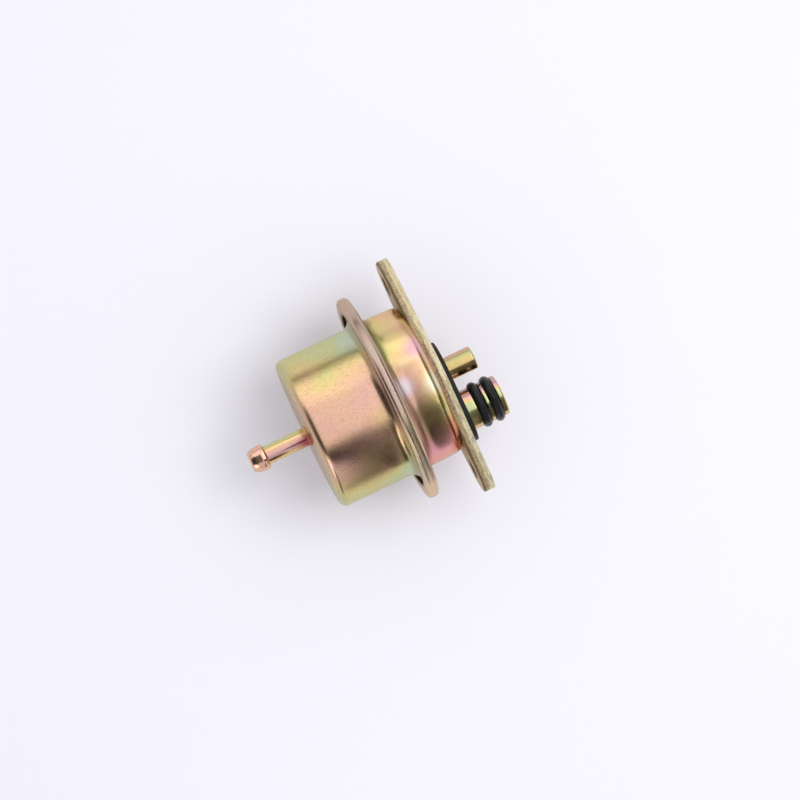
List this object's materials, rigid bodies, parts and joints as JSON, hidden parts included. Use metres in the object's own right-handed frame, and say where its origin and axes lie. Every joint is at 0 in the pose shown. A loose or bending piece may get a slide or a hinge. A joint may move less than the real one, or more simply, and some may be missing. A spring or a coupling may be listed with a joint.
{
  "type": "fuel pressure regulator",
  "caption": "Fuel pressure regulator: crimped yellow-passivated cans over a spring and diaphragm valve, on a screw-down plate, with vacuum nipple, return tube and O-ring inlet stub.",
  "frame": {"origin": "on the cans' axis, midway between the screw holes, on the plate's face that meets the fuel rail", "axes": "+Z along the cans' axis towards the vacuum nipple, +X through the screw holes, with the inlet stub on the -X side"},
  "size_m": [0.0674, 0.058, 0.0679],
  "materials": {
    "spring_can_zinc": "satin",
    "fuel_can_zinc": "gloss",
    "plate_zinc": "matte",
    "nipple_zinc": "gloss",
    "port_zinc": "gloss",
    "seal_rubber": "satin",
    "diaphragm_rubber": "matte",
    "plain_steel": "satin",
    "spring_steel": "satin",
    "ball_steel": "polished",
    "seat_brass": "satin"
  },
  "bodies": {
    "housing": {"spring_housing": "spring_can_zinc", "vacuum_nipple": "nipple_zinc", "fuel_housing": "fuel_can_zinc", "mounting_plate": "plate_zinc", "return_tube": "port_zinc", "valve_seat": "seat_brass", "inlet_stub": "port_zinc", "inner_o_ring": "seal_rubber", "outer_o_ring": "seal_rubber", "port_gasket": "seal_rubber", "diaphragm": "diaphragm_rubber", "main_spring": "spring_steel", "spring_seat": "plain_steel"},
    "valve": {"spring_plate": "plain_steel", "diaphragm_washer": "plain_steel", "valve_holder": "plain_steel", "valve_ball": "ball_steel", "ball_retainer": "plain_steel", "ball_spring": "spring_steel"}
  },
  "joints": [
    {"name": "valve_lift", "type": "slide", "parent": "housing", "child": "valve", "axis": [0, 0, 1], "range_m": [0, 0.0008], "stiffness_N_per_m": 19000, "deforming": ["main_spring", "diaphragm"]}
  ]
}
